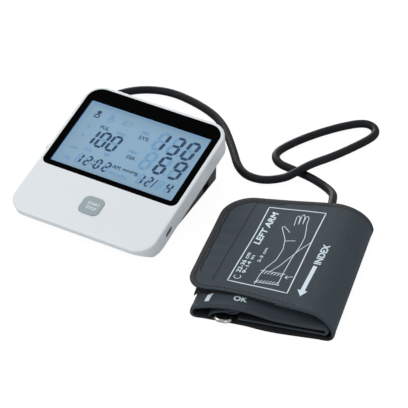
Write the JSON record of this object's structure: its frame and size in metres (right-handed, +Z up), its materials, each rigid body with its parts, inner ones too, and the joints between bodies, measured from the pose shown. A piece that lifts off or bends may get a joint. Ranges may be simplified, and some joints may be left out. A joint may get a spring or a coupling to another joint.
{
  "type": "blood pressure monitor",
  "caption": "Desktop blood pressure monitor: tilted white console with a large segment display and a start button on a dark wedge base, joined by an air hose to a folded cloth arm cuff.",
  "frame": {"origin": "middle of the console's rest face, on the table top", "axes": "+Z up; -Y towards the user, from whose side the display is read; +X to the user's right, where the cuff lies"},
  "size_m": [0.3654, 0.3392, 0.0527],
  "materials": {
    "white_shell": "smooth satin",
    "black_frame": "gloss",
    "clear_pane": "clear",
    "display": "smooth",
    "light_guide": "clear",
    "tray_plastic": "moulded",
    "grey_button": "satin",
    "dark_shell": "fine texture",
    "circuit_board": "coated",
    "black_plastic": "moulded",
    "steel": "plated",
    "ring_metal": "polished",
    "hose_rubber": "satin",
    "foot_rubber": "matt",
    "silicone": "milky",
    "foam": "open cell",
    "cell_wrap": "gloss",
    "cuff_cloth": "woven",
    "edge_tape": "ribbed tape",
    "hook_tape": "hooked"
  },
  "bodies": {
    "console": {"top_case": "white_shell", "bottom_case": "dark_shell", "window_frame": "black_frame", "window_pane": "clear_pane", "lcd_glass": "display", "backlight_panel": "light_guide", "lcd_tray": "tray_plastic", "key_board": "circuit_board", "key_switch": "black_plastic", "main_board": "circuit_board", "board_chips": "black_plastic", "pressure_sensor": "black_plastic", "buzzer": "black_plastic", "pump_motor": "steel", "pump_head": "black_plastic", "pump_cradle": "foam", "release_valve": "black_plastic", "air_manifold": "black_plastic", "air_pipes": "silicone", "air_socket": "black_plastic", "usb_socket": "black_plastic", "power_socket": "black_plastic", "batteries": "cell_wrap", "battery_contacts": "steel", "rubber_feet": "foot_rubber", "case_screws": "steel", "board_screws": "steel"},
    "button": {"start_button": "grey_button"},
    "bay_cover": {"battery_cover": "dark_shell"},
    "crank": {"pump_crank": "steel"},
    "plunger": {"valve_plunger": "steel"},
    "air_line": {"air_plug": "black_plastic", "air_hose": "hose_rubber", "cuff_port": "black_plastic", "bladder": "silicone", "cuff_wrap": "cuff_cloth", "wrap_binding": "edge_tape", "ring_loop": "cuff_cloth"},
    "flap": {"cuff_flap": "cuff_cloth", "flap_binding": "edge_tape", "hook_patch": "hook_tape"},
    "ring": {"d_ring": "ring_metal"}
  },
  "joints": [
    {"name": "start_button_press", "type": "slide", "parent": "console", "child": "button", "axis": [0, 0.1951, -0.9808], "range_m": [0, 0.0006], "stiffness_N_per_m": 1500, "springref_m": -0.0004},
    {"name": "bay_cover_swing", "type": "hinge", "parent": "console", "child": "bay_cover", "pos_m": [0, 0.0095, 0], "axis": [1, 0, 0], "range_deg": [0, 75]},
    {"name": "crank_spin", "type": "hinge", "parent": "console", "child": "crank", "pos_m": [-0.009, 0.043, 0.0148], "axis": [1, 0, 0], "continuous": true},
    {"name": "plunger_lift", "type": "slide", "parent": "console", "child": "plunger", "axis": [0, 0, 1], "range_m": [0, 0.0008], "stiffness_N_per_m": 300, "springref_m": -0.001},
    {"name": "air_plug_pull", "type": "slide", "parent": "console", "child": "air_line", "axis": [-1, 0, 0], "range_m": [0, 0.009]},
    {"name": "flap_lift", "type": "hinge", "parent": "air_line", "child": "flap", "pos_m": [0.22844, -0.01929, 0.0285], "axis": [-0.1888, 0.982, 0], "range_deg": [0, 70]},
    {"name": "ring_swing", "type": "hinge", "parent": "air_line", "child": "ring", "pos_m": [0.1629, -0.03503, 0.0062], "axis": [-0.1888, 0.982, 0], "range_deg": [-2, 2]}
  ]
}
